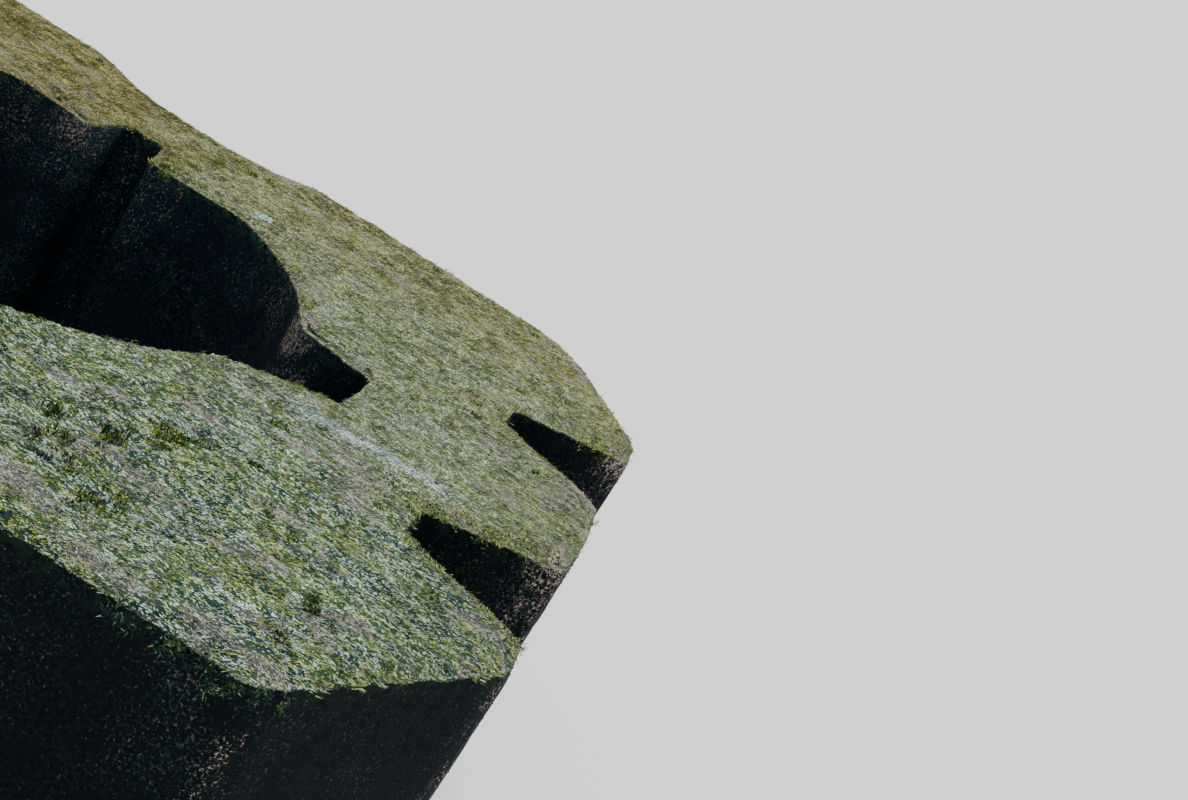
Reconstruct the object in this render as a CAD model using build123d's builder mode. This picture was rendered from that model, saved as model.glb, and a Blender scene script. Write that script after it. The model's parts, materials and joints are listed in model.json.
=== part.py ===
from build123d import *
from math import atan2, degrees
import os

# Interlocking concrete armour unit for a sloping sea wall, cast in one piece. Millimetres.
# It lies flat. X runs down the slope, from the plain head end to the toothed toe end,
# Y runs along the wall and Z is up. The origin is the centre of the underside.

# Body
unit_length = 2500
unit_width = 2040
unit_depth = 800

# Cut-off corners, where the units of the next row bear
head_corner_along = 210
head_corner_across = 270
toe_corner_along = 250

# Two wedge notches leave three teeth at the toe end
middle_tooth_tip = 370
outer_tooth_tip = 115
notch_mouth = 320
notch_root = 100
notch_depth = 250

# Central well, a flat on each long side and round ends that bulge beyond the flats.
# It sits slightly towards the toe.
well_across_flats = 1000
well_bulge = 70
well_shift = 30

# Keyway from the well towards the toe
keyway_mouth = 300
keyway_end = 180
keyway_length = 180

# Key grooves in the flats of the well, at mid length of the unit
groove_mouth = 140
groove_root = 85
groove_depth = 140

# Shallow waists in the long sides, outside the key grooves
waist_mouth = 580
waist_floor = 310
waist_depth = 105

# Corners and edges as they leave the mould
body_corner_radius = 60
waist_corner_radius = 45
tooth_corner_radius = 40
well_corner_radius = 90
keyway_lip_radius = 60
groove_lip_radius = 30
root_corner_radius = 15
rim_chamfer = 18
base_chamfer = 10

half_length = unit_length / 2
half_width = unit_width / 2
notch_offset = (middle_tooth_tip + notch_mouth) / 2
notch_bottom = half_length - notch_depth
toe_half_width = notch_offset + notch_mouth / 2 + outer_tooth_tip
flat_offset = well_across_flats / 2
well_radius = flat_offset + well_bulge
flat_start = well_shift - (well_radius**2 - flat_offset**2) ** 0.5
flat_end = well_shift + (well_radius**2 - flat_offset**2) ** 0.5
groove_bottom = flat_offset + groove_depth
keyway_start = well_shift + (well_radius**2 - (keyway_mouth / 2) ** 2) ** 0.5
keyway_bottom = keyway_start + keyway_length


def tapered_slot(mouth, floor, depth, turn, mode):
    """A slot that narrows from its mouth to its floor, cut towards +Y and then turned."""
    flank_angle = degrees(atan2(depth, (mouth - floor) / 2))
    return Trapezoid(mouth, depth, flank_angle, rotation=turn, align=(Align.CENTER, Align.MIN), mode=mode)


def between(corners, axis, low, high):
    """The corners that lie from low to high along an axis."""
    return corners.filter_by_position(axis, low - 0.5, high + 0.5)


with BuildPart() as armour_unit:
    with BuildSketch() as plan:
        # Eight-sided body
        with BuildLine():
            Polyline(
                (-half_length, 0),
                (-half_length, half_width - head_corner_across),
                (head_corner_along - half_length, half_width),
                (half_length - toe_corner_along, half_width),
                (half_length, toe_half_width),
                (half_length, 0),
            )
            mirror(about=Plane.XZ)
        make_face()
        body_corners = plan.vertices() - between(plan.vertices(), Axis.X, half_length, half_length)
        fillet(body_corners, radius=body_corner_radius)

        # Waists at mid length
        with Locations((0, -half_width)):
            tapered_slot(waist_mouth, waist_floor, waist_depth, 0, Mode.SUBTRACT)
        with Locations((0, half_width)):
            tapered_slot(waist_mouth, waist_floor, waist_depth, 180, Mode.SUBTRACT)
        waist_corners = between(plan.vertices(), Axis.X, -waist_mouth / 2, waist_mouth / 2)
        fillet(waist_corners, radius=waist_corner_radius)

        # Teeth of the toe end
        with Locations((half_length, -notch_offset), (half_length, notch_offset)):
            tapered_slot(notch_mouth, notch_root, notch_depth, 90, Mode.SUBTRACT)
        tooth_corners = between(plan.vertices(), Axis.X, half_length, half_length)
        fillet(tooth_corners, radius=tooth_corner_radius)
        notch_corners = between(plan.vertices(), Axis.X, notch_bottom, notch_bottom)
        notch_corners = between(notch_corners, Axis.Y, -toe_half_width, toe_half_width)
        fillet(notch_corners, radius=root_corner_radius)
    extrude(amount=unit_depth)

    # The well, its keyway and its key grooves pass through the whole depth
    with BuildSketch() as well:
        with Locations((well_shift, 0)):
            Circle(well_radius)
            Rectangle(2 * well_radius, well_across_flats, mode=Mode.INTERSECT)
        flat_corners = between(well.vertices(), Axis.X, flat_start, flat_end)
        fillet(flat_corners, radius=well_corner_radius)
        with Locations((keyway_start, 0)):
            tapered_slot(keyway_mouth, keyway_end, keyway_length, -90, Mode.ADD)
        with Locations((0, flat_offset)):
            tapered_slot(groove_mouth, groove_root, groove_depth, 0, Mode.ADD)
        with Locations((0, -flat_offset)):
            tapered_slot(groove_mouth, groove_root, groove_depth, 180, Mode.ADD)
        groove_corners = between(well.vertices(), Axis.Y, -groove_bottom, -groove_bottom)
        groove_corners += between(well.vertices(), Axis.Y, groove_bottom, groove_bottom)
        keyway_corners = between(well.vertices(), Axis.X, keyway_bottom, keyway_bottom)
        fillet(groove_corners + keyway_corners, radius=root_corner_radius)
        keyway_lips = between(well.vertices(), Axis.X, keyway_start, keyway_start)
        fillet(keyway_lips, radius=keyway_lip_radius)
        groove_lips = between(well.vertices(), Axis.X, -groove_mouth / 2, -groove_mouth / 2)
        groove_lips += between(well.vertices(), Axis.X, groove_mouth / 2, groove_mouth / 2)
        fillet(groove_lips, radius=groove_lip_radius)
    extrude(amount=unit_depth, mode=Mode.SUBTRACT)

    # Bevelled edges round the upper face and the underside
    chamfer(armour_unit.faces().sort_by(Axis.Z)[-1].edges(), length=rim_chamfer)
    chamfer(armour_unit.faces().sort_by(Axis.Z)[0].edges(), length=base_chamfer)

armour_unit.part.label = "armour_unit"
os.makedirs("parts", exist_ok=True)
export_step(armour_unit.part, "parts/armour_unit.step")
print("volume, cubic metres:", round(armour_unit.part.volume / 1e9, 3))
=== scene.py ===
import json
import math
import random

import bmesh
import bpy
from mathutils import Euler, Matrix, Vector, kdtree, noise

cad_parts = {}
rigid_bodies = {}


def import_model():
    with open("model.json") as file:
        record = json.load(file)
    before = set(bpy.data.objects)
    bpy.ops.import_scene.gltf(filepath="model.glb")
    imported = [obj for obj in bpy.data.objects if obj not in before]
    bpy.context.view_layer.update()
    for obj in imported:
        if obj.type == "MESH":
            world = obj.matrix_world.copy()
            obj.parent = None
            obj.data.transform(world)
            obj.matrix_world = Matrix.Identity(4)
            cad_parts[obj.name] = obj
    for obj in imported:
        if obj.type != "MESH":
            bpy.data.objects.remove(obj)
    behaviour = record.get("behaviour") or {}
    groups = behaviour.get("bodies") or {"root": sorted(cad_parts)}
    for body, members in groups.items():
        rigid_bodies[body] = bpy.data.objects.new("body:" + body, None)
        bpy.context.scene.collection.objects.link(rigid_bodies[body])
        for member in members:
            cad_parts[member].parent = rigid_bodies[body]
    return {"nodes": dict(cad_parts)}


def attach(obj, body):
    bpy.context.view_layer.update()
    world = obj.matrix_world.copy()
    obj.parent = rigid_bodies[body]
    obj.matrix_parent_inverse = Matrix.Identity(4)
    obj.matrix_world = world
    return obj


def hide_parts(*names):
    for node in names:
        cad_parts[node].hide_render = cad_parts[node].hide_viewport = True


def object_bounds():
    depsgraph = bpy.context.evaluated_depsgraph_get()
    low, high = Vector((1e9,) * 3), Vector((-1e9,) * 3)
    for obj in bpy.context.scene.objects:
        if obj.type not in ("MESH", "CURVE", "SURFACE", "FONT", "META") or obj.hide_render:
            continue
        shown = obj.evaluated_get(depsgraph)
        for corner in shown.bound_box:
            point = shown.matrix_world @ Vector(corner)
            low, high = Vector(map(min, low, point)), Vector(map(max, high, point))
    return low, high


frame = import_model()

# an interlocking concrete unit of a sea wall, worn by the sea and grown over with algae
# metres throughout: X down the slope towards the teeth, Y along the wall, Z out of the slope
cadLow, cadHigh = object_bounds()
cadUnit = frame["nodes"]["armour_unit"]
scene = bpy.context.scene
mergeGap = 0.00005      # corners of the CAD triangles this close are one


def addObject(name, mesh):
    piece = bpy.data.objects.new(name, mesh)
    scene.collection.objects.link(piece)
    return piece


def applyModifiers(piece):
    graph = bpy.context.evaluated_depsgraph_get()
    mesh = bpy.data.meshes.new_from_object(piece.evaluated_get(graph))
    piece.modifiers.clear()
    piece.data = mesh


def countTriangles(piece):
    return sum(len(polygon.vertices) - 2 for polygon in piece.data.polygons)


def smoothStep(low, high, value):
    share = min(1.0, max(0.0, (value - low) / (high - low)))
    return share * share * (3 - 2 * share)


def blend(pair, share):
    # the first number of the pair, plus the share of the second
    return pair[0] + pair[1] * share


def rough(place, size, dimension=0.8):
    # three octaves of noise, from about -1 to 1, with features about size metres across
    return noise.fractal(place / size, dimension, 2.0, 3)


def planGap(place, spot):
    return math.hypot(place.x - spot[0], place.y - spot[1])


def addNode(tree, kind, settings=None, sockets=None):
    # sockets maps a socket's name or number to a value, or to the output that feeds it
    made = tree.nodes.new(kind)
    for name, value in (settings or {}).items():
        setattr(made, name, value)
    for key, value in (sockets or {}).items():
        if isinstance(value, bpy.types.NodeSocket):
            tree.links.new(value, made.inputs[key])
        else:
            made.inputs[key].default_value = value
    return made


def mixColour(tree, factor, first, second):
    made = addNode(
        tree, "ShaderNodeMix", {"data_type": "RGBA"}, {0: factor, 6: first, 7: second},
    )
    return made.outputs[2]


def maths(tree, operation, first, second=0.0, third=0.0):
    sockets = {0: first, 1: second, 2: third}
    return addNode(tree, "ShaderNodeMath", {"operation": operation}, sockets).outputs[0]


def vectorMaths(tree, operation, output, sockets):
    made = addNode(tree, "ShaderNodeVectorMath", {"operation": operation}, sockets)
    return made.outputs[output]


def spread(tree, value, low, high, newLow=0.0, newHigh=1.0):
    made = addNode(
        tree, "ShaderNodeMapRange", {"interpolation_type": "SMOOTHSTEP"},
        {"Value": value, "From Min": low, "From Max": high, "To Min": newLow, "To Max": newHigh},
    )
    return made.outputs["Result"]


def stain(tree, colour, over, value, low, high, most=1.0):
    # lays over on colour where value goes from low to high, up to the share most
    return mixColour(tree, spread(tree, value, low, high, 0.0, most), colour, over)


def scaled(tree, vector, size, stretch):
    # coordinates for a pattern whose features are about size metres, longer where stretch is over 1
    placed = addNode(
        tree, "ShaderNodeMapping", None,
        {"Vector": vector, "Scale": [1 / (size * longer) for longer in stretch]},
    )
    return placed.outputs[0]


def grain(tree, vector, size, stretch=(1, 1, 1), detail=2, roughness=0.5):
    made = addNode(
        tree, "ShaderNodeTexNoise", None,
        {
            "Vector": scaled(tree, vector, size, stretch), "Scale": 1.0, "Detail": detail,
            "Roughness": roughness,
        },
    )
    return made.outputs["Fac"]


def cells(tree, vector, size, stretch=(1, 1, 1)):
    # grains: the distance from a grain's middle, and two random numbers of its own
    made = addNode(
        tree, "ShaderNodeTexVoronoi", {"feature": "F1"},
        {"Vector": scaled(tree, vector, size, stretch), "Scale": 1.0, "Randomness": 1.0},
    )
    parts = addNode(tree, "ShaderNodeSeparateColor", None, {0: made.outputs["Color"]})
    return made.outputs["Distance"], parts.outputs[0], parts.outputs[1]


def startGroup(name, inputs, outputs):
    group = bpy.data.node_groups.new(name, "ShaderNodeTree")
    for label, kind in inputs:
        group.interface.new_socket(label, in_out="INPUT", socket_type=kind)
    for label, kind in outputs:
        group.interface.new_socket(label, in_out="OUTPUT", socket_type=kind)
    entry = group.nodes.new("NodeGroupInput")
    leave = group.nodes.new("NodeGroupOutput")
    return group, entry.outputs, leave.inputs


def startMaterial(name, roughness, specular):
    # also returns its node tree and its surface shader
    material = bpy.data.materials.new(name)
    material.use_nodes = True
    tree = material.node_tree
    skin = tree.nodes["Principled BSDF"]
    skin.inputs["Roughness"].default_value = roughness
    skin.inputs["Specular IOR Level"].default_value = specular
    return material, tree, skin


body = {
    "grid": 0.0085,             # distance between points after the remesh
    "sink": 0.010,              # how far down the cast face lies, so that the algae fit in the box
    "heave": 0.005,             # slow unevenness of every face
    "heaveSize": 0.30,
    "lumps": 0.0022,            # small lumps of the old surface
    "lumpSize": 0.035,
    "wearReach": 0.040,         # how far from an arris the wear goes
    "wearDepth": 0.011,
    "wearShare": (0.35, 0.65),  # of that depth: everywhere, and what the chips add
    "wearSize": 0.10,
    "fallReach": (0.02, 0.06),  # from the arris, where the walls also go down as they go in
    "spotFall": 0.6,            # how far down the walls a worn spot goes, against its width
    "cornerReach": 0.035,       # wear of the upright corners
    "cornerDepth": 0.005,
    "mostWear": 0.024,          # unevenness and wear together stay under this
    "nookClear": (-0.01, 0.05), # from an inner corner, where the wear comes back
    "nookReach": 0.034,         # how far the sharp inner corners are deepened
    "nookDepth": 0.006,
    "nookMore": 0.007,          # added to nookDepth at the top
    "plainBelow": 0.62,         # lower than this the mesh is thinned most
    "fineWeight": 0.25,         # how readily the rest is thinned
    "keptShare": 0.34,          # of the triangles, after the thinning
}

# where an arris is worn most: x and y, how wide, how deep
wornSpots = [
    ((0.60, 0.17), 0.11, 0.010),
    ((0.60, -0.17), 0.11, 0.009),
    ((1.25, 0.12), 0.12, 0.013),
    ((1.25, -0.17), 0.12, 0.015),
    ((1.25, 0.56), 0.11, 0.015),
    ((1.25, -0.56), 0.11, 0.015),
    ((-0.08, 0.52), 0.08, 0.011),
    ((0.08, 0.52), 0.07, 0.010),
    ((1.0, 1.0), 0.12, 0.010),
]

# inner corners that stay sharp at the top: roots of the notches, end of the keyway, key grooves
sharpNooks = [
    (1.0, 0.295), (1.0, 0.395), (1.0, -0.295), (1.0, -0.395), (0.76, 0.09), (0.76, -0.09),
    (0.043, 0.64), (-0.043, 0.64), (0.043, -0.64), (-0.043, -0.64),
]

bareConcrete = {
    "patchSize": 0.07,          # patches where the arrises are barest
    "raggedSize": 0.035,        # breaks up the outlines of the spots
    "arrisWidth": (0.008, 0.016),   # of the band along every arris, and what a patch adds to it
    "arrisShare": (0.10, 0.60),
    "toeFrom": (1.20, 1.235),   # x where a wider band begins, round the ends of the teeth
    "toeWidth": (0.008, 0.036),
    "toeShare": (0.50, 0.50),
    "cornerWidth": (0.002, 0.022),  # of the band along the upright corners
    "cornerShare": 0.5,
    "wellReach": 0.75,          # within this from the middle the corners keep only wellShare
    "wellShare": 0.3,
    "topWidth": (0.016, 0.055), # how far from the arris the spots reach on the upper face
    "streakSize": (0.10, 0.045),    # thin streaks in the algae
    "streakShare": 0.40,
}

# where grains of bare concrete show on the walls and arrises: place, how wide, how thickly
grainSpots = [
    ((0.47, 0.32, 0.74), 0.14, 0.40),
    ((0.57, 0.17, 0.74), 0.10, 0.85),
    ((0.54, 0.17, 0.56), 0.08, 0.40),
    ((-0.10, 0.50, 0.76), 0.09, 0.70),
    ((-0.22, 0.50, 0.72), 0.16, 0.25),
    ((1.235, -0.150, 0.79), 0.080, 0.95),
    ((1.240, 0.140, 0.79), 0.060, 0.90),
    ((1.240, 0.510, 0.79), 0.060, 0.90),
    ((1.24, -0.20, 0.76), 0.080, 0.75),
    ((1.22, -0.21, 0.69), 0.065, 0.50),
    ((1.245, -0.18, 0.60), 0.050, 0.70),
    ((1.245, -0.18, 0.50), 0.040, 0.60),
    ((1.245, -0.18, 0.38), 0.035, 0.50),
    ((1.17, -0.22, 0.62), 0.16, 0.20),
    ((1.25, 0.16, 0.78), 0.07, 0.80),
    ((1.20, 0.16, 0.79), 0.07, 0.80),
    ((1.14, 0.19, 0.79), 0.06, 0.60),
    ((1.07, 0.25, 0.79), 0.04, 0.40),
    ((1.25, 0.00, 0.79), 0.09, 0.60),
    ((1.24, 0.50, 0.78), 0.09, 0.80),
    ((1.22, 0.46, 0.66), 0.09, 0.35),
    ((1.25, -0.50, 0.78), 0.07, 0.75),
    ((1.05, 0.90, 0.76), 0.07, 0.45),
    ((-1.22, 0.70, 0.77), 0.06, 0.35),
    ((-1.22, -0.70, 0.77), 0.06, 0.35),
    ((-0.30, -1.00, 0.77), 0.07, 0.35),
]

# long patches of the upper face with thin algae: x and y, half length, half width, how thin
thinSpots = [
    ((0.652, -0.453), 0.070, 0.026, 0.55),
    ((0.786, -0.363), 0.060, 0.026, 0.55),
    ((0.850, -0.600), 0.080, 0.030, 0.50),
    ((0.690, -0.736), 0.070, 0.026, 0.50),
    ((0.880, -0.315), 0.110, 0.020, 0.60),
    ((0.500, -0.600), 0.060, 0.024, 0.45),
    ((0.600, -0.930), 0.090, 0.050, 0.50),
    ((0.760, -0.980), 0.100, 0.036, 0.50),
    ((0.900, -0.960), 0.060, 0.026, 0.40),
    ((1.100, -0.060), 0.070, 0.040, 0.45),
    ((1.160, 0.060), 0.060, 0.040, 0.40),
    ((0.560, 0.720), 0.090, 0.022, 0.50),
    ((0.350, 0.800), 0.100, 0.018, 0.45),
    ((0.950, 0.300), 0.060, 0.015, 0.35),
    ((-0.50, -0.70), 0.110, 0.026, 0.45),
    ((-0.80, 0.20), 0.080, 0.022, 0.45),
    ((-0.30, 0.78), 0.110, 0.020, 0.45),
]

mossyEdges = {
    "patchSize": 0.13,          # patches of moss along the arrises
    "patchShift": (3.1, 0.4, 0),
    "patchShare": 0.7,
    "patchWidth": (0.008, 0.030),   # how far from the arris they reach
    "spotWidth": (0.014, 0.046),    # the same for the spots
    "spots": [                  # x and y, how wide
        ((1.02, -0.29), 0.09), ((1.10, -0.26), 0.09), ((1.17, -0.22), 0.09), ((1.205, -0.17), 0.05),
        ((0.09, 0.52), 0.05), ((1.18, 0.46), 0.07), ((1.02, 0.30), 0.05), ((0.54, 0.25), 0.05),
        ((1.20, -0.50), 0.08), ((1.06, -0.42), 0.07), ((-0.55, 0.30), 0.08), ((-0.40, -0.42), 0.08),
        ((-0.70, 1.0), 0.10), ((-1.25, 0.1), 0.10),
    ],
}


def arrisPoints(mesh, step=0.006):
    # points along the upper arrises, and where the upright outer and inner corners stand in plan
    bm = bmesh.new()
    bm.from_mesh(mesh)
    bmesh.ops.remove_doubles(bm, verts=bm.verts, dist=mergeGap)
    bmesh.ops.dissolve_limit(bm, angle_limit=0.01, verts=bm.verts, edges=bm.edges)
    upper, corners, nooks = [], [], []
    for edge in bm.edges:
        a, b = edge.verts[0].co, edge.verts[1].co
        if min(a.z, b.z) > cadHigh.z - 0.001:
            count = max(1, int((b - a).length / step))
            upper += [a.lerp(b, k / count) for k in range(count)]
        elif abs(a.z - b.z) > 0.7 * cadHigh.z:
            angle = edge.calc_face_angle_signed(0)
            if abs(angle) > 0.03:
                (corners if angle > 0 else nooks).append(Vector((a.x, a.y, 0)))
    bm.free()
    return upper, corners, nooks


def treeOf(places):
    found = kdtree.KDTree(len(places))
    for k, place in enumerate(places):
        found.insert(place, k)
    found.balance()
    return found


def spotWear(place, rim):
    # how much of each worn spot's depth a point gets; rim is the distance to the upper arris
    found = 0.0
    for spot, wide, deep in wornSpots:
        apart = planGap(place, spot)
        if apart < wide:
            here = smoothStep(0, wide, wide - apart) * max(0.0, 1 - rim / (wide * body["spotFall"]))
            found += deep * here ** 1.5
    return found


def weather(place, out, rim, corner, nook):
    # where a point of the cast surface ends up: only ever inwards, and inner corners stay sharp
    slow = noise.noise(place / body["heaveSize"]) * 0.5 + 0.5
    small = rough(place, body["lumpSize"]) * 0.5 + 0.5
    inward = body["heave"] * slow + body["lumps"] * small
    near = max(0.0, 1 - rim / body["wearReach"]) ** 2
    chips = blend(body["wearShare"], max(0.0, rough(place, body["wearSize"], 0.7) + 0.4))
    inward += body["wearDepth"] * near * chips
    inward += spotWear(place, rim)
    upright = max(0.0, 1 - corner / body["cornerReach"]) ** 2 * (1 - abs(out.z))
    inward += body["cornerDepth"] * upright * chips
    clear = smoothStep(*body["nookClear"], nook)
    inward = body["mostWear"] * math.tanh(inward / body["mostWear"]) * clear
    # near the arris the walls go down as far as they go in, so that the upper face meets them
    fall = (1 - abs(out.z)) * (1 - smoothStep(*body["fallReach"], rim))
    shift = -inward * (out + Vector((0, 0, fall)))
    if nook < body["nookClear"][1]:
        away = min(planGap(place, spot) for spot in sharpNooks)
        deep = body["nookDepth"] + body["nookMore"] * (1 - smoothStep(0.0, 0.03, rim))
        close = 1 - smoothStep(0.004, body["nookReach"], away)
        shift -= deep * close * (1 - 0.7 * abs(out.z)) * out
    # the underside stays where it is, and the upper face goes down
    shift *= smoothStep(-0.9, -0.3, out.z)
    shift.z -= body["sink"] * smoothStep(0.3, 0.9, out.z)
    return place + shift


def patchShare(place, spots):
    # how much of the strongest long patch a point of the upper face gets
    found = 0.0
    for spot, long, wide, share in spots:
        away = math.hypot((place.x - spot[0]) / long, (place.y - spot[1]) / wide)
        found = max(found, share * (1 - smoothStep(0.3, 1.0, away)))
    return found


def bareness(place, out, rim, corner):
    # how thickly grains of bare concrete show, from 0 to 1
    ragged = rough(place, bareConcrete["raggedSize"])
    patch = smoothStep(0.0, 0.40, rough(place, bareConcrete["patchSize"]))
    edge = 1 - smoothStep(0.002, blend(bareConcrete["arrisWidth"], patch), rim)
    edge *= blend(bareConcrete["arrisShare"], patch)
    toe = smoothStep(*bareConcrete["toeFrom"], place.x)
    toe *= 1 - smoothStep(*bareConcrete["toeWidth"], rim)
    toe *= blend(bareConcrete["toeShare"], patch)
    spot = 0.0
    for middle, wide, share in grainSpots:
        away = (place - Vector(middle)).length * (1 + 0.7 * ragged)
        spot = max(spot, share * (1 - smoothStep(0.10 * wide, wide, away)))
    upright = (1 - smoothStep(*bareConcrete["cornerWidth"], corner)) * patch
    upright *= smoothStep(0.2, 0.95, place.z / cadHigh.z)
    if math.hypot(place.x, place.y) < bareConcrete["wellReach"]:
        upright *= bareConcrete["wellShare"]
    if out.z > 0.5:
        spot *= 1 - smoothStep(*bareConcrete["topWidth"], rim)
        long, wide = bareConcrete["streakSize"]
        streaked = rough(Vector((place.x / long, place.y / wide, 3.3)), 1.0)
        streaked = bareConcrete["streakShare"] * smoothStep(0.25, 0.60, streaked)
        spot = max(spot, patchShare(place, thinSpots), streaked)
    return max(edge, toe, spot, bareConcrete["cornerShare"] * upright)


def mossiness(place, rim):
    # how thickly bright moss grows along an arris, from 0 to 1
    patch = rough(place + Vector(mossyEdges["patchShift"]), mossyEdges["patchSize"])
    patch = mossyEdges["patchShare"] * smoothStep(0.10, 0.50, patch)
    patch *= 1 - smoothStep(*mossyEdges["patchWidth"], rim)
    listed = max(
        1 - smoothStep(0.4 * wide, wide, planGap(place, spot)) for spot, wide in mossyEdges["spots"]
    )
    return max(patch, listed * (1 - smoothStep(*mossyEdges["spotWidth"], rim)))


def gridBlock():
    # the cast block as an even grid of points
    bm = bmesh.new()
    bm.from_mesh(cadUnit.data)
    bmesh.ops.remove_doubles(bm, verts=bm.verts, dist=mergeGap)
    mesh = bpy.data.meshes.new("concrete_unit")
    bm.to_mesh(mesh)
    bm.free()
    piece = addObject("concrete_unit", mesh)
    remesh = piece.modifiers.new("even grid", "REMESH")
    remesh.mode = "VOXEL"
    remesh.voxel_size = body["grid"]
    applyModifiers(piece)
    return piece


def wearDown(piece, distances):
    mesh = piece.data
    moved = []
    for vert, out in zip(mesh.vertices, [vert.normal.copy() for vert in mesh.vertices]):
        moved.append(weather(vert.co, out, *distances(vert.co)))
    plain = [vert.index for vert in mesh.vertices if vert.co.z < body["plainBelow"]]
    fine = [vert.index for vert in mesh.vertices if vert.co.z >= body["plainBelow"]]
    mesh.vertices.foreach_set("co", [value for place in moved for value in place])
    mesh.update()
    group = piece.vertex_groups.new(name="plain")
    group.add(plain, 1.0, "REPLACE")
    group.add(fine, body["fineWeight"], "REPLACE")
    thin = piece.modifiers.new("thin", "DECIMATE")
    thin.ratio = body["keptShare"]
    thin.vertex_group = "plain"
    applyModifiers(piece)
    piece.vertex_groups.clear()


markNames = ("rim", "corner", "bare", "moss")


def markPoints(mesh, distances):
    # what the materials and the growth read: distance to the arris and to an upright corner,
    # how bare and how mossy the place is
    rows = []
    for vert in mesh.vertices:
        rim, corner, _ = distances(vert.co)
        bare = bareness(vert.co, vert.normal, rim, corner)
        rows.append((rim, corner, bare, mossiness(vert.co, rim)))
    for label, numbers in zip(markNames, zip(*rows)):
        mesh.attributes.new(label, "FLOAT", "POINT").data.foreach_set("value", numbers)


def buildBody():
    upper, corners, nooks = arrisPoints(cadUnit.data)
    rimTree, cornerTree, nookTree = treeOf(upper), treeOf(corners), treeOf(nooks)

    def distances(place):
        flat = (place.x, place.y, 0)
        return rimTree.find(place)[2], cornerTree.find(flat)[2], nookTree.find(flat)[2]

    piece = gridBlock()
    wearDown(piece, distances)
    markPoints(piece.data, distances)
    for polygon in piece.data.polygons:
        polygon.use_smooth = True
    print("concrete unit:", countTriangles(piece), "triangles")
    return piece


concreteUnit = buildBody()


# the settings of a growth: how many kinds of tuft, the blades in a tuft and the radius they stand
# in, the length and width of a blade, its lift in degrees from the face, and its turn in degrees to
# either side of straight down the slope; then the tufts on a square metre, their scale, how many
# degrees each may swing round, and how closely it stands upright on the face, from 0 to 1
def addBlade(bm, shade, chance, settings):
    # a flat three-sided cone on its side: its tip points down the slope when the yaw is 0
    long, wide = chance.uniform(*settings["length"]), chance.uniform(*settings["width"])
    angle, away = chance.uniform(0, math.tau), settings["radius"] * chance.random() ** 0.5
    yaw = chance.uniform(-settings["turn"], settings["turn"])
    pitch = chance.uniform(*settings["lift"])
    pose = (
        Matrix.Translation((math.cos(angle) * away, math.sin(angle) * away, 0))
        @ Euler((0, -math.radians(pitch), math.radians(yaw))).to_matrix().to_4x4()
        @ Matrix.Translation((long / 2, 0, 0))
        @ Matrix.Rotation(math.pi / 2, 4, "Y")
        @ Matrix.Diagonal((0.45, 1, 1, 1))
    )
    made = bmesh.ops.create_cone(
        bm, cap_ends=True, segments=3, radius1=wide / 2, radius2=0, depth=long, matrix=pose,
    )
    own = chance.random()
    for vert in made["verts"]:
        vert[shade] = own


def buildTufts(settings):
    chance = random.Random(settings["seed"])
    kinds = bpy.data.collections.new("tufts")
    for k in range(settings["kinds"]):
        bm = bmesh.new()
        shade = bm.verts.layers.float.new("shade")
        for _ in range(settings["blades"]):
            addBlade(bm, shade, chance, settings)
        mesh = bpy.data.meshes.new(f"tuft_{k}")
        bm.to_mesh(mesh)
        bm.free()
        kinds.objects.link(bpy.data.objects.new(f"tuft_{k}", mesh))
    return kinds


def randomValue(tree, low, high, seed):
    made = addNode(
        tree, "FunctionNodeRandomValue", {"data_type": "FLOAT"}, {2: low, 3: high, "Seed": seed},
    )
    return made.outputs[1]


def scatterTree(kinds, settings, seed):
    # geometry nodes: random kinds on the faces, upright on them, turned and scaled at random
    tree = bpy.data.node_groups.new("scatter", "GeometryNodeTree")
    tree.interface.new_socket("Geometry", in_out="INPUT", socket_type="NodeSocketGeometry")
    tree.interface.new_socket("Geometry", in_out="OUTPUT", socket_type="NodeSocketGeometry")
    entry = tree.nodes.new("NodeGroupInput")
    leave = tree.nodes.new("NodeGroupOutput")
    cover = addNode(
        tree, "GeometryNodeInputNamedAttribute", {"data_type": "FLOAT"}, {"Name": "cover"},
    )
    amount = maths(tree, "MULTIPLY", cover.outputs[0], settings["perSquareMetre"])
    points = addNode(
        tree, "GeometryNodeDistributePointsOnFaces", None,
        {"Mesh": entry.outputs[0], "Density": amount, "Seed": seed},
    )
    gathered = addNode(
        tree, "GeometryNodeCollectionInfo", {"transform_space": "ORIGINAL"},
        {"Collection": kinds, "Separate Children": True, "Reset Children": True},
    )
    upright = addNode(
        tree, "FunctionNodeAlignRotationToVector", {"axis": "Z"},
        {"Factor": settings["follow"], "Vector": points.outputs["Normal"]},
    )
    swing = math.radians(settings["swing"])
    yaw = randomValue(tree, -swing, swing, seed + 1)
    turned = addNode(tree, "ShaderNodeCombineXYZ", None, {"Z": yaw})
    rotation = addNode(
        tree, "FunctionNodeRotateRotation", {"rotation_space": "LOCAL"},
        {"Rotation": upright.outputs[0], "Rotate By": turned.outputs[0]},
    )
    placed = addNode(
        tree, "GeometryNodeInstanceOnPoints", None,
        {
            "Points": points.outputs["Points"],
            "Instance": gathered.outputs[0], "Pick Instance": True,
            "Rotation": rotation.outputs[0], "Scale": randomValue(tree, *settings["scale"], seed + 2),
        },
    )
    toned = addNode(
        tree, "GeometryNodeStoreNamedAttribute", {"data_type": "FLOAT", "domain": "INSTANCE"},
        {
            "Geometry": placed.outputs[0], "Name": "tone",
            "Value": randomValue(tree, 0.0, 1.0, seed + 3),
        },
    )
    real = addNode(tree, "GeometryNodeRealizeInstances", None, {"Geometry": toned.outputs[0]})
    tree.links.new(real.outputs[0], leave.inputs[0])
    return tree


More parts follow.
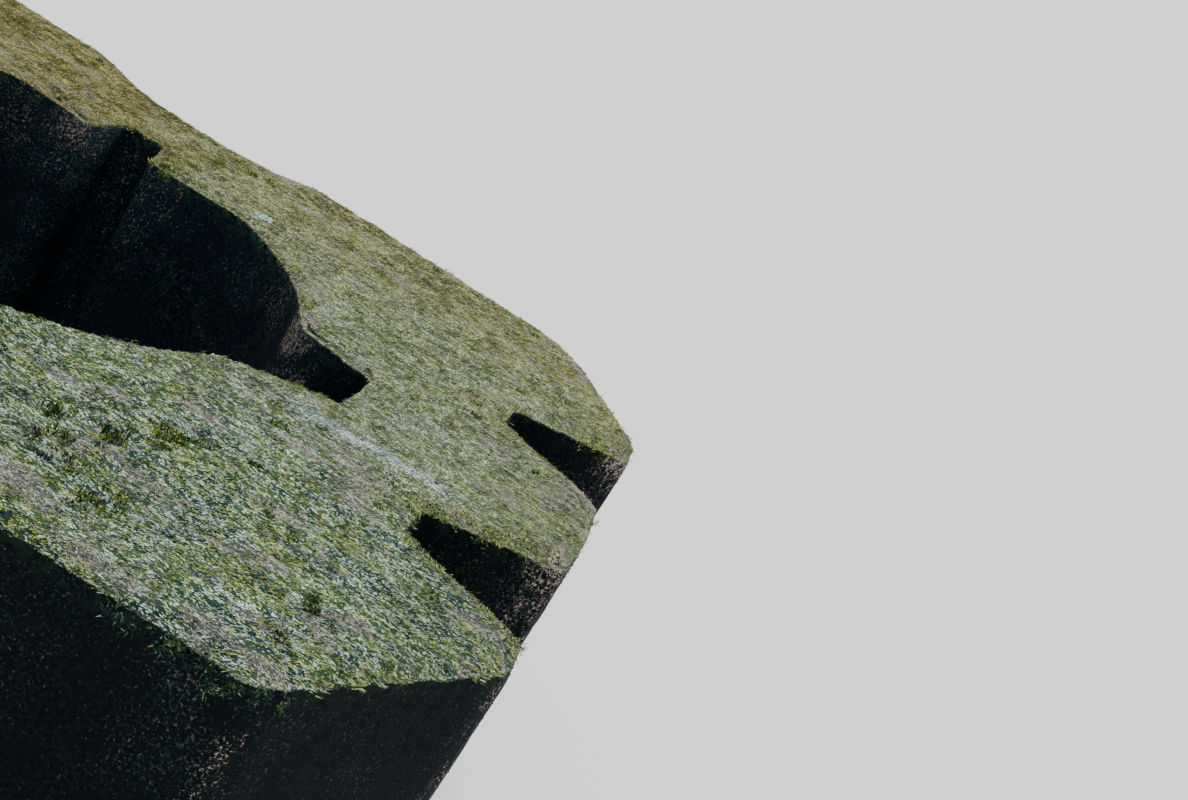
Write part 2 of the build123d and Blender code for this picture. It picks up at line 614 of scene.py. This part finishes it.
def bedOf(name, wanted, cover):
    # the unit's faces that pass wanted(face centre, normal), with how thickly each point is covered
    bm = bmesh.new()
    bm.from_mesh(concreteUnit.data)
    drop = [face for face in bm.faces if not wanted(face.calc_center_median(), face.normal)]
    bmesh.ops.delete(bm, geom=drop, context="FACES")
    mesh = bpy.data.meshes.new(name)
    bm.to_mesh(mesh)
    bm.free()
    columns = [[point.value for point in mesh.attributes[label].data] for label in markNames]
    values = []
    for vert, row in zip(mesh.vertices, zip(*columns)):
        values.append(min(1.0, max(0.0, cover(vert.co, dict(zip(markNames, row))))))
    mesh.attributes.new("cover", "FLOAT", "POINT").data.foreach_set("value", values)
    return mesh


def keepInside(mesh):
    # the odd tip that passes the cast block's box is pressed back to it
    flat = [0.0] * (3 * len(mesh.vertices))
    mesh.vertices.foreach_get("co", flat)
    for axis in range(3):
        low, high = cadLow[axis], cadHigh[axis]
        flat[axis::3] = [min(high, max(low, value)) for value in flat[axis::3]]
    mesh.vertices.foreach_set("co", flat)
    mesh.update()


def scatter(name, bed, kinds, settings, seed):
    piece = addObject(name, bed)
    growing = piece.modifiers.new("scatter", "NODES")
    growing.node_group = scatterTree(kinds, settings, seed)
    applyModifiers(piece)
    keepInside(piece.data)
    print(name + ":", countTriangles(piece), "triangles")
    return piece


def putAway(kinds):
    for shape in list(kinds.objects):
        bpy.data.objects.remove(shape)


def buildGrowth(name, kinds, settings, wanted, cover):
    piece = scatter(name, bedOf(name, wanted, cover), kinds, settings, settings["seed"])
    putAway(kinds)
    return piece


def isUpper(centre, normal):
    return normal.z > 0.55 and centre.z > 0.85 * cadHigh.z


# dark clumps of moss that stand up from the upper face
clumps = {
    "kinds": 5, "blades": 34, "radius": 0.012,
    "length": (0.0040, 0.0100), "width": (0.0022, 0.0042),
    "lift": (30, 88), "turn": 180,
    "perSquareMetre": 3000, "scale": (0.6, 1.3), "swing": 180, "follow": 0.9,
    "seed": 131,
    "reach": (0.3, 1.25),       # where a clump thins out, against its width
    "looseShare": 0.08,         # single tufts between the clumps
    "spots": [                  # x and y, how wide
        ((0.620, -0.680), 0.040), ((0.611, -0.574), 0.030), ((0.654, -0.577), 0.040),
        ((0.540, -0.701), 0.034), ((0.769, -0.496), 0.028), ((0.666, -0.875), 0.034),
        ((0.695, -0.846), 0.040), ((0.630, -0.819), 0.034), ((0.741, -0.347), 0.020),
        ((0.973, -0.788), 0.022), ((0.570, -0.800), 0.040), ((0.690, -0.560), 0.024),
        ((-0.45, -0.75), 0.045), ((-0.70, -0.62), 0.036), ((-0.62, -0.80), 0.040),
        ((0.10, -0.78), 0.036), ((-0.95, 0.35), 0.036), ((-0.85, 0.60), 0.040),
    ],
    # the shade share below is the share of blades painted the dark shade colour, for the shadow side
    # of the clumps
    "shadedShare": 0.56, "brightMore": -0.02,
    "middling": (0.055, 0.11, 0.028, 1), "bright": (0.33, 0.40, 0.05, 1),
}


def clumpShare(place):
    ragged = 0.9 * noise.noise(place / 0.018) + 0.6 * noise.noise(place / 0.007)
    near = 0.0
    inner, outer = clumps["reach"]
    for spot, wide in clumps["spots"]:
        away = math.hypot((place.x - spot[0]) / 0.65, (place.y - spot[1]) / 1.5)
        near = max(near, 1 - smoothStep(inner * wide, outer * wide, away))
    return smoothStep(0.25, 0.75, near * (1 + ragged))


def clumpCover(place, mark):
    loose = smoothStep(0.45, 0.65, rough(place + Vector((0, 5.2, 0)), 0.12))
    return clumpShare(place) + clumps["looseShare"] * loose


# short algae over the whole upper face, combed down the slope by the water
strands = {
    "kinds": 8, "blades": 14, "radius": 0.014,
    "length": (0.0045, 0.0108), "width": (0.0015, 0.0029),
    "lift": (4, 40), "turn": 32,
    "perSquareMetre": 3700, "scale": (0.75, 1.2), "swing": 10, "follow": 0.8,
    "seed": 11,
    "strips": {                 # each strip, and the y at which it ends
        "near_side": -0.66, "near_leg": -0.34, "middle": 0.34, "far_leg": 0.66, "far_side": 1.10,
    },
    "leastCover": 0.15,
    "arrisGap": (0.003, 0.014), # none nearer to the arris than the first, full beyond the second
    "shadedShare": 0.42, "brightMore": 0.0,
}


def strandCover(place, mark):
    thick = 0.60 + 0.7 * noise.noise(place / 0.16) + 0.6 * noise.noise(place / 0.035)
    free = max(0.0, 1 - 1.2 * mark["bare"]) * (1 - 0.75 * mark["moss"])
    free *= 1 - 0.8 * clumpShare(place)
    edge = smoothStep(*strands["arrisGap"], mark["rim"])
    return min(1.0, max(strands["leastCover"], thick)) * edge * free


def buildStrands():
    kinds = buildTufts(strands)
    made, low = [], -math.inf
    for k, (strip, high) in enumerate(strands["strips"].items()):
        bed = bedOf(
            "algae_" + strip,
            lambda centre, normal: low <= centre.y < high and isUpper(centre, normal),
            strandCover,
        )
        made.append(scatter("algae_" + strip, bed, kinds, strands, strands["seed"] + 10 * k))
        low = high
    putAway(kinds)
    return made


# bright moss along some of the upper arrises
fringe = {
    "kinds": 5, "blades": 12, "radius": 0.009,
    "length": (0.0035, 0.0075), "width": (0.0024, 0.0042),
    "lift": (10, 60), "turn": 180,
    "perSquareMetre": 9500, "scale": (0.7, 1.2), "swing": 180, "follow": 1.0,
    "seed": 71,
    "shadedShare": 0.45, "brightMore": 0.02,
    "middling": (0.20, 0.28, 0.08, 1), "bright": (0.44, 0.48, 0.10, 1),
}


def isRim(centre, normal):
    return normal.z > 0.1 and centre.z > 0.93 * cadHigh.z


def fringeCover(place, mark):
    return mark["moss"] * (1 - 0.45 * mark["bare"])


# darker moss that hangs over the arrises onto the upright faces
drape = {
    "kinds": 4, "blades": 14, "radius": 0.010,
    "length": (0.004, 0.010), "width": (0.0022, 0.0038),
    "lift": (5, 45), "turn": 180,
    "perSquareMetre": 5200, "scale": (0.6, 1.2), "swing": 180, "follow": 1.0,
    "seed": 171,
    "hang": (0.02, 0.08),       # it thins out this far from the arris
    "spots": [                  # x, y and z, how wide
        ((0.86, -1.02, 0.78), 0.10), ((0.98, -1.01, 0.77), 0.11), ((0.62, -1.02, 0.78), 0.06),
        ((0.16, 0.50, 0.79), 0.07), ((0.36, 0.42, 0.79), 0.06), ((-0.52, 0.30, 0.78), 0.09),
        ((-0.60, 1.02, 0.78), 0.10), ((-1.25, -0.20, 0.78), 0.12), ((0.62, 1.02, 0.78), 0.09),
        ((1.14, 0.78, 0.78), 0.09),
    ],
    "shadedShare": 0.50, "brightMore": -0.05,
    "middling": (0.055, 0.145, 0.085, 1), "bright": (0.22, 0.33, 0.08, 1),
}


def isHigh(centre, normal):
    return abs(normal.z) < 0.8 and centre.z > 0.85 * cadHigh.z


def drapeCover(place, mark):
    ragged = 0.5 * noise.noise(place / 0.03) + 0.3 * noise.noise(place / 0.012)
    near = max(
        1 - smoothStep(0.3 * wide, wide, (place - Vector(spot)).length)
        for spot, wide in drape["spots"]
    )
    return smoothStep(0.3, 0.8, near + ragged * near) * (1 - smoothStep(*drape["hang"], mark["rim"]))


# small ringed shells with an open middle, sunk a little into the walls
shells = {
    "kinds": 3, "sides": 6, "radius": (0.0014, 0.0024), "height": (0.0012, 0.0018),
    "topShare": 0.55,           # radius at the top, against the foot
    "lipShare": 0.16,           # width of the lip, against the foot
    "raised": 0.35,             # where its middle stands, against its height
    "hollow": 0.5,
    "perSquareMetre": 3200, "scale": (0.4, 1.25), "swing": 180, "follow": 1.0,
    "seed": 211,
    "cloudSize": 0.15,          # they stand in clouds, thickest near the arrises and corners
    "dark": (0.009, 0.020, 0.024, 1), "pale": (0.105, 0.105, 0.095, 1),
    "stain": (0.02, 0.028, 0.026, 1),
}


def isWall(centre, normal):
    return abs(normal.z) < 0.6 and centre.z > 0.05


def shellCover(place, mark):
    cloud = smoothStep(-0.1, 0.55, rough(place + Vector((7.7, 0, 1.3)), shells["cloudSize"]))
    close = 0.06 + 0.40 * (1 - smoothStep(0.0, 0.30, mark["rim"]))
    close += 0.25 * (1 - smoothStep(0.0, 0.10, mark["corner"]))
    return cloud * close + 0.6 * mark["bare"]


def buildShellKinds():
    chance = random.Random(shells["seed"])
    kinds = bpy.data.collections.new("shells")
    for k in range(shells["kinds"]):
        bm = bmesh.new()
        wide, high = chance.uniform(*shells["radius"]), chance.uniform(*shells["height"])
        bmesh.ops.create_cone(
            bm, cap_ends=True, segments=shells["sides"], depth=high,
            radius1=wide, radius2=wide * shells["topShare"],
            matrix=Matrix.Translation((0, 0, high * shells["raised"])),
        )
        lid = max(bm.faces, key=lambda face: face.calc_center_median().z)
        bmesh.ops.inset_individual(
            bm, faces=[lid], thickness=wide * shells["lipShare"], depth=-high * shells["hollow"],
        )
        mesh = bpy.data.meshes.new(f"shell_{k}")
        bm.to_mesh(mesh)
        bm.free()
        kinds.objects.link(bpy.data.objects.new(f"shell_{k}", mesh))
    return kinds


strandPieces = buildStrands()
mossFringe = buildGrowth("moss_fringe", buildTufts(fringe), fringe, isRim, fringeCover)
mossClumps = buildGrowth("moss_clumps", buildTufts(clumps), clumps, isUpper, clumpCover)
mossDrape = buildGrowth("moss_drape", buildTufts(drape), drape, isHigh, drapeCover)
wallShells = buildGrowth("wall_shells", buildShellKinds(), shells, isWall, shellCover)


def readMark(tree, label):
    return addNode(tree, "ShaderNodeAttribute", {"attribute_name": label}).outputs["Fac"]


algae = {
    "near": (0.64, 0.84, 0.72, 1),          # lit algae on the near leg
    "felted": (0.64, 0.71, 0.48, 1),        # across the middle
    "far": (0.60, 0.57, 0.32, 1),
    "head": (0.35, 0.265, 0.075, 1),        # on the far leg towards the head
    "toe": (0.33, 0.34, 0.17, 1),           # on the ends of the teeth
    "olivePatch": (0.46, 0.48, 0.22, 1),
    "greyPatch": (0.36, 0.39, 0.36, 1),
    "yellowMote": (0.45, 0.46, 0.12, 1),
    "rosyMote": (0.42, 0.35, 0.33, 1),
    # painted shade along dark lines between the combed strands
    "shadeLine": (0.12, 0.13, 0.11, 1),
    "bruise": (0.19, 0.155, 0.16, 1),
    # painted shade: the dark colours of the gaps between the strands, in each region
    "gapShadeNear": ((0.007, 0.034, 0.025, 1), (0.040, 0.080, 0.022, 1)),
    "gapShadeFelted": (0.125, 0.150, 0.080, 1),
    "gapShadeHead": (0.095, 0.085, 0.030, 1),
    "gapShadeUnderSheen": (0.16, 0.22, 0.21, 1),
    "brightNear": (0.37, 0.42, 0.065, 1),
    "brightFar": (0.47, 0.42, 0.10, 1),
    "sheenStreak": (0.74, 0.88, 0.90, 1),        # the pale bluish algae beside the keyway, with a painted wet sheen
    "streakAcross": (-0.235, -0.175),       # y of its middle, which wanders between these
    "streakStart": (0.66, 0.80),            # x where it fades in
    "streakEnd": (0.94, 1.06),              # x where it fades out
    "dab": (0.72, 0.88, 0.92, 1),           # a small bluish-white dab on the far side
    "dabPlace": (0.325, 0.572),
    "dabSize": (0.024, 0.024),
}


def algaeTintGroup():
    # colours of the algae at a place, combed in lines down the slope, with painted shade for the gaps
    # between the strands
    group, entry, leave = startGroup(
        "algae tint", [("Vector", "NodeSocketVector")],
        [
            ("Combed", "NodeSocketVector"), ("Pale", "NodeSocketColor"), ("Gap Shade", "NodeSocketColor"),
            ("Bright", "NodeSocketColor"), ("Bright Share", "NodeSocketFloat"),
            ("Shaded Gaps", "NodeSocketFloat"),
        ],
    )
    where = entry["Vector"]
    parts = addNode(group, "ShaderNodeSeparateXYZ", None, {0: where}).outputs
    along, across = parts["X"], parts["Y"]

    # the lines wander a little to either side
    drift = maths(group, "MULTIPLY", grain(group, where, 0.20), 0.06)
    drift = maths(group, "MULTIPLY_ADD", grain(group, where, 0.012), 0.005, drift)
    bent = addNode(group, "ShaderNodeCombineXYZ", None, {"Y": drift}).outputs[0]
    combed = vectorMaths(group, "ADD", "Vector", {0: where, 1: bent})

    # patterns
    wander = grain(group, where, 0.35, (1.6, 1, 1), 3)
    patches = grain(group, where, 0.10, (2.0, 1, 1), 4, 0.65)
    fine = grain(group, where, 0.035, (2.5, 1, 1), 2, 0.6)
    lines = grain(group, combed, 0.013, (3.6, 1, 1), 3, 0.6)
    motes = grain(group, combed, 0.015, (1.7, 1, 1), 3, 0.6)
    bruises = spread(group, grain(group, combed, 0.022, (3.4, 1, 1), 3, 0.62), 0.57, 0.65)
    # painted shade: where the gaps between flecks and blades cluster
    shadedGaps = spread(group, grain(group, combed, 0.0080, (2.0, 1, 1), 3, 0.65), 0.55, 0.44)

    # regions
    farness = spread(group, maths(group, "MULTIPLY_ADD", wander, 0.7, across), 0.45, 1.25)
    felted = spread(group, maths(group, "MULTIPLY_ADD", wander, 0.2, across), -0.40, -0.05)
    felted = maths(group, "MULTIPLY", felted, 0.6)
    headward = spread(group, maths(group, "MULTIPLY_ADD", wander, 0.5, along), 0.50, 0.10)
    headward = maths(group, "MULTIPLY", headward, spread(group, across, 0.2, 0.55, 0, 0.75))
    toeward = maths(group, "MULTIPLY_ADD", wander, 0.2, along)

    # the streak of painted wet sheen on pale bluish algae
    streakMiddle = spread(group, wander, 0.3, 0.7, *algae["streakAcross"])
    offStreak = maths(group, "ABSOLUTE", maths(group, "SUBTRACT", across, streakMiddle))
    sheenStreak = spread(group, maths(group, "MULTIPLY_ADD", patches, 0.05, offStreak), 0.058, 0.026)
    sheenStreak = maths(group, "MULTIPLY", sheenStreak, spread(group, along, *algae["streakStart"]))
    sheenStreak = maths(group, "MULTIPLY", sheenStreak, spread(group, along, *reversed(algae["streakEnd"])))

    # the dab, with a ragged outline
    dabScale = [1 / size for size in algae["dabSize"]] + [0]
    dabShift = [-place * scale for place, scale in zip(algae["dabPlace"], dabScale)] + [0]
    placed = addNode(
        group, "ShaderNodeMapping", None, {"Vector": where, "Location": dabShift, "Scale": dabScale},
    )
    offDab = vectorMaths(group, "LENGTH", "Value", {0: placed.outputs[0]})
    dab = spread(group, maths(group, "MULTIPLY_ADD", motes, 0.8, offDab), 1.4, 1.1)

    pale = mixColour(group, felted, algae["near"], algae["felted"])
    pale = mixColour(group, farness, pale, algae["far"])
    pale = stain(group, pale, algae["olivePatch"], patches, 0.54, 0.70, 0.6)
    pale = stain(group, pale, algae["greyPatch"], patches, 0.46, 0.32, 0.6)
    pale = stain(group, pale, algae["yellowMote"], motes, 0.53, 0.61, 0.75)
    pale = stain(group, pale, algae["rosyMote"], motes, 0.45, 0.38, 0.65)
    pale = mixColour(group, headward, pale, algae["head"])
    pale = stain(group, pale, algae["toe"], toeward, 1.08, 1.22, 0.5)
    # painted shade: dark lines between the combed strands
    pale = stain(group, pale, algae["shadeLine"], lines, 0.46, 0.38, 0.8)
    pale = mixColour(group, maths(group, "MULTIPLY", bruises, 0.85), pale, algae["bruise"])
    pale = mixColour(group, maths(group, "MULTIPLY", sheenStreak, 0.9), pale, algae["sheenStreak"])
    pale = mixColour(group, dab, pale, algae["dab"])

    # the painted shade colour of the gaps between the strands
    deepDark, deepLight = algae["gapShadeNear"]
    deep = stain(group, deepDark, deepLight, fine, 0.4, 0.6)
    deep = mixColour(group, felted, deep, algae["gapShadeFelted"])
    deep = mixColour(group, headward, deep, algae["gapShadeHead"])
    # the painted sheen also lightens the painted shade of the gaps
    deep = mixColour(group, maths(group, "MULTIPLY", sheenStreak, 0.4), deep, algae["gapShadeUnderSheen"])

    bright = mixColour(group, farness, algae["brightNear"], algae["brightFar"])
    share = spread(group, patches, 0.36, 0.66, 0.10, 0.38)
    share = maths(group, "MULTIPLY_ADD", farness, 0.20, share)
    # fewer bright blades under the painted sheen
    share = maths(group, "MULTIPLY_ADD", sheenStreak, -0.3, share)
    share = maths(group, "MULTIPLY_ADD", bruises, -0.2, share)
    share = maths(group, "SUBTRACT", share, dab)
    # less painted shade in the gaps under the painted sheen
    shadedGaps = maths(group, "MULTIPLY", shadedGaps, maths(group, "MULTIPLY_ADD", sheenStreak, -0.8, 1.0))
    shadedGaps = maths(group, "SUBTRACT", shadedGaps, dab)

    outputs = {
        "Combed": combed, "Pale": pale, "Gap Shade": deep, "Bright": bright, "Bright Share": share,
        "Shaded Gaps": shadedGaps,
    }
    for label, value in outputs.items():
        group.links.new(value, leave[label])
    return group


concrete = {
    "thinAlgae": ((0.045, 0.038, 0.045, 1), (0.21, 0.18, 0.185, 1)),
    "redFleck": (0.22, 0.07, 0.045, 1),
    # the walls' dark wet film, darkened further with painted shade
    "wall": ((0.0010, 0.0030, 0.0055, 1), (0.009, 0.019, 0.025, 1)),
    "wallCloud": (0.004, 0.009, 0.013, 1),
    "greenUnderArris": (0.018, 0.052, 0.030, 1),
    "specks": ((0.040, 0.105, 0.105, 1), (0.27, 0.225, 0.205, 1)),
    "wallLift": (2.0, 0.5),     # brightness of the walls, painted light in the well, and painted shade outside
    "wellReach": (0.62, 0.80),  # from the middle of the unit, where the one turns into the other
    "bareGrains": ((0.060, 0.048, 0.045, 1), (0.80, 0.64, 0.55, 1)),
}


def algaeBed(tree, tinted, bareMark, mossMark):
    # small flecks combed down the slope, with painted shade in the gaps between them
    away, ownTone, ownHue = cells(tree, tinted["Combed"], 0.0025, (2.3, 1, 1))
    fine = grain(tree, tinted["Combed"], 0.0014, (2.2, 1, 1), 2, 0.6)
    fleck = spread(tree, away, 0.66, 0.26)
    lit = maths(tree, "MULTIPLY", fleck, maths(tree, "MULTIPLY_ADD", ownTone, 0.75, 0.25))
    lit = maths(tree, "ADD", lit, maths(tree, "MULTIPLY_ADD", fine, 0.8, -0.4))
    # painted shade: the flecks darken where the gaps cluster
    lit = maths(tree, "SUBTRACT", lit, maths(tree, "MULTIPLY_ADD", tinted["Shaded Gaps"], 0.5, -0.15))
    # lit flecks take the pale colour, the gaps the painted shade colour
    colour = stain(tree, tinted["Gap Shade"], tinted["Pale"], lit, 0.10, 0.60)
    brightShare = maths(tree, "MULTIPLY_ADD", mossMark, 0.6, tinted["Bright Share"])
    isBright = spread(tree, maths(tree, "SUBTRACT", brightShare, ownHue), -0.02, 0.02)
    isBright = maths(tree, "MULTIPLY", isBright, spread(tree, lit, 0.15, 0.5))
    colour = mixColour(tree, isBright, colour, tinted["Bright"])
    isRed = maths(tree, "MULTIPLY", spread(tree, ownHue, 0.985, 0.995), fleck)
    colour = mixColour(tree, isRed, colour, concrete["redFleck"])
    thin = stain(tree, *concrete["thinAlgae"], fine, 0.38, 0.60)
    colour = mixColour(tree, maths(tree, "MULTIPLY", bareMark, 0.9), colour, thin)
    return colour, lit


def wetShadedWall(tree, where, clouds):
    # dark wet sides, darkened further with painted shade, with dim specks, greenish under the
    # arrises, with painted light in the well and painted shade outside it
    rim, corner = readMark(tree, "rim"), readMark(tree, "corner")
    mottle = grain(tree, where, 0.008, detail=4, roughness=0.8)
    shadedFilm = stain(tree, *concrete["wall"], mottle, 0.42, 0.66)
    broad = grain(tree, where, 0.30, (1, 1, 0.6), 4, 0.6)
    shadedFilm = mixColour(
        tree, maths(tree, "MULTIPLY", spread(tree, broad, 0.42, 0.62), 0.6), shadedFilm,
        concrete["wallCloud"],
    )
    stained = spread(tree, grain(tree, where, 0.022, detail=4, roughness=0.75), 0.44, 0.58)
    stained = maths(tree, "MULTIPLY", stained, spread(tree, rim, 0.07, 0.01))
    shadedFilm = mixColour(tree, stained, shadedFilm, concrete["greenUnderArris"])
    specks = maths(tree, "ADD", grain(tree, where, 0.0048, detail=3, roughness=0.8), -0.04)
    specks = maths(tree, "MULTIPLY_ADD", clouds, 0.30, specks)
    specks = maths(tree, "ADD", specks, spread(tree, rim, 0.30, 0.0, 0.0, 0.035))
    specks = maths(tree, "ADD", specks, spread(tree, corner, 0.10, 0.0, 0.0, 0.03))
    isSpeck = spread(tree, specks, 0.715, 0.81)
    speckColour = stain(tree, *concrete["specks"], grain(tree, where, 0.009), 0.52, 0.60)
    shadedFilm = mixColour(tree, isSpeck, shadedFilm, speckColour)
    plan = vectorMaths(tree, "MULTIPLY", "Vector", {0: where, 1: (1, 1, 0)})
    reach = vectorMaths(tree, "LENGTH", "Value", {0: plan})
    # painted light on the walls in the well, painted shade on those outside
    inWell, outside = concrete["wallLift"]
    lift = spread(tree, reach, *reversed(concrete["wellReach"]), outside, inWell)
    shadedFilm = vectorMaths(tree, "SCALE", "Vector", {0: shadedFilm, "Scale": lift})
    return shadedFilm, isSpeck


def bodyMaterial(tint):
    material, tree, skin = startMaterial("weathered concrete", 0.92, 0.12)
    where = addNode(tree, "ShaderNodeTexCoord").outputs["Object"]
    normal = addNode(tree, "ShaderNodeNewGeometry").outputs["Normal"]
    facing = addNode(tree, "ShaderNodeSeparateXYZ", None, {0: normal}).outputs["Z"]
    bareMark, mossMark = readMark(tree, "bare"), readMark(tree, "moss")
    tinted = addNode(tree, "ShaderNodeGroup", {"node_tree": tint}, {"Vector": where}).outputs
    clouds = grain(tree, where, 0.14, detail=4, roughness=0.65)
    bed, lit = algaeBed(tree, tinted, bareMark, mossMark)
    shadedFilm, isSpeck = wetShadedWall(tree, where, clouds)

    upper = maths(tree, "MULTIPLY_ADD", clouds, 0.5, maths(tree, "SUBTRACT", facing, 0.25))
    upper = spread(tree, upper, 0.25, 0.60)
    colour = mixColour(tree, upper, shadedFilm, bed)

    # grains of bare concrete on worn arrises and thin patches
    sand = grain(tree, where, 0.0058, detail=4, roughness=0.85)
    isGrain = spread(tree, maths(tree, "MULTIPLY_ADD", bareMark, 0.17, sand), 0.62, 0.67)
    isGrain = maths(tree, "MULTIPLY", isGrain, spread(tree, bareMark, 0.02, 0.20))
    grit = grain(tree, where, 0.0030, detail=3, roughness=0.8)
    bare = stain(tree, *concrete["bareGrains"], grit, 0.36, 0.54)
    colour = mixColour(tree, isGrain, colour, bare)

    height = maths(tree, "MULTIPLY", lit, upper)
    height = maths(tree, "MULTIPLY_ADD", isGrain, 0.6, height)
    height = maths(tree, "MULTIPLY_ADD", isSpeck, 0.4, height)
    relief = addNode(
        tree, "ShaderNodeBump", None, {"Height": height, "Strength": 0.8, "Distance": 0.003},
    )
    tree.links.new(colour, skin.inputs["Base Color"])
    tree.links.new(relief.outputs[0], skin.inputs["Normal"])
    return material


growthColours = {
    "dull": (0.11, 0.10, 0.09, 1),
    "rosy": (0.56, 0.48, 0.43, 1),
}


def growthMaterial(name, tint, settings):
    # the settings give the share of blades that take the painted shade colour, the rest take the
    # middling one or the bed's pale one;
    # brightMore is added to the share of bright blades
    material, tree, skin = startMaterial(name, 0.75, 0.2)
    where = addNode(tree, "ShaderNodeTexCoord").outputs["Object"]
    tinted = addNode(tree, "ShaderNodeGroup", {"node_tree": tint}, {"Vector": where}).outputs
    # three random numbers for each blade
    tone = maths(tree, "FRACT", maths(tree, "ADD", readMark(tree, "tone"), readMark(tree, "shade")))
    other = maths(tree, "FRACT", maths(tree, "MULTIPLY", tone, 17.0))
    third = maths(tree, "FRACT", maths(tree, "MULTIPLY", tone, 71.0))
    # blades where the gaps cluster take the painted shade colour
    lit = maths(tree, "SUBTRACT", tone, maths(tree, "MULTIPLY_ADD", tinted["Shaded Gaps"], 0.7, -0.22))
    lit = spread(tree, lit, settings["shadedShare"] - 0.12, settings["shadedShare"] + 0.12)
    colour = mixColour(tree, lit, tinted["Gap Shade"], settings.get("middling", tinted["Pale"]))
    dull = maths(tree, "MULTIPLY", spread(tree, third, 0.6, 0.0, 0, 0.65), lit)
    colour = mixColour(tree, dull, colour, growthColours["dull"])
    rosy = maths(tree, "MULTIPLY", spread(tree, third, 0.84, 0.90, 0, 0.6), lit)
    colour = mixColour(tree, rosy, colour, growthColours["rosy"])
    share = maths(tree, "ADD", tinted["Bright Share"], settings["brightMore"])
    isBright = spread(tree, maths(tree, "SUBTRACT", share, other), -0.02, 0.02)
    colour = mixColour(tree, isBright, colour, settings.get("bright", tinted["Bright"]))
    tree.links.new(colour, skin.inputs["Base Color"])
    return material


def shellMaterial():
    material, tree, skin = startMaterial("pale shells", 0.85, 0.2)
    where = addNode(tree, "ShaderNodeTexCoord").outputs["Object"]
    colour = stain(tree, shells["dark"], shells["pale"], readMark(tree, "tone"), 0.55, 1.0)
    dirt = grain(tree, where, 0.003, roughness=0.6)
    colour = stain(tree, colour, shells["stain"], dirt, 0.4, 0.65)
    tree.links.new(colour, skin.inputs["Base Color"])
    return material


def dress(piece, material):
    piece.data.materials.clear()
    piece.data.materials.append(material)


algaeTint = algaeTintGroup()
strandSkin = growthMaterial("algae strands", algaeTint, strands)
for piece in strandPieces:
    dress(piece, strandSkin)
dress(mossFringe, growthMaterial("fringe moss", algaeTint, fringe))
dress(mossClumps, growthMaterial("clump moss", algaeTint, clumps))
dress(mossDrape, growthMaterial("hanging moss", algaeTint, drape))
dress(concreteUnit, bodyMaterial(algaeTint))
dress(wallShells, shellMaterial())
print("materials made")

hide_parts("armour_unit")
for piece in [concreteUnit, *strandPieces, mossFringe, mossClumps, mossDrape, wallShells]:
    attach(piece, "root")


studio = {
    "floorReach": 60.0,
    "floorColour": (0.72, 0.72, 0.70, 1),
    "sunStrength": 5.75,
    "sunSpread": 45,            # degrees, for soft shadows
    "sunFrom": (0.20, 0.62, 0.95),
    "skyStrength": 0.48,
    "skyColour": (0.86, 0.93, 1.0, 1),
    "backColour": (1.43, 1.43, 1.41, 1),    # what shows past the floor, as bright as the floor
}


def buildFloor():
    bm = bmesh.new()
    bmesh.ops.create_grid(bm, x_segments=1, y_segments=1, size=studio["floorReach"])
    mesh = bpy.data.meshes.new("floor")
    bm.to_mesh(mesh)
    bm.free()
    floor = addObject("floor", mesh)
    material, _, skin = startMaterial("pale floor", 0.95, 0.1)
    skin.inputs["Base Color"].default_value = studio["floorColour"]
    dress(floor, material)


def buildSun():
    light = bpy.data.lights.new("sun", "SUN")
    light.energy = studio["sunStrength"]
    light.angle = math.radians(studio["sunSpread"])
    sun = bpy.data.objects.new("sun", light)
    sun.rotation_euler = (-Vector(studio["sunFrom"])).to_track_quat("-Z", "Y").to_euler()
    scene.collection.objects.link(sun)


def buildSky():
    world = bpy.data.worlds.new("sky")
    world.use_nodes = True
    tree = world.node_tree
    sky = tree.nodes["Background"]
    sky.inputs["Color"].default_value = studio["skyColour"]
    sky.inputs["Strength"].default_value = studio["skyStrength"]
    seen = addNode(tree, "ShaderNodeLightPath").outputs["Is Camera Ray"]
    back = addNode(tree, "ShaderNodeBackground", None, {"Color": studio["backColour"]})
    either = addNode(
        tree, "ShaderNodeMixShader", None, {0: seen, 1: sky.outputs[0], 2: back.outputs[0]},
    )
    tree.links.new(either.outputs[0], tree.nodes["World Output"].inputs["Surface"])
    scene.world = world


buildFloor()
buildSun()
buildSky()
print("floor and lights set")

shot = {
    "place": (1.19, -2.725, 1.80),      # before it goes down with the sunk face
    "forward": (-0.0218, 0.9601, -0.2787),
    "up": (-0.5334, 0.2246, 0.8155),
    "lens": 50,                         # millimetres
    "sensor": 36,
}


def buildCamera():
    lens = bpy.data.cameras.new("camera")
    lens.lens = shot["lens"]
    lens.sensor_width = shot["sensor"]
    camera = bpy.data.objects.new("camera", lens)
    back = -Vector(shot["forward"]).normalized()
    side = Vector(shot["up"]).cross(back).normalized()
    turn = Matrix((side, back.cross(side), back)).transposed()
    stand = Vector(shot["place"]) - Vector((0, 0, body["sink"]))
    camera.matrix_world = Matrix.Translation(stand) @ turn.to_4x4()
    scene.collection.objects.link(camera)
    scene.camera = camera


buildCamera()
print("camera set")
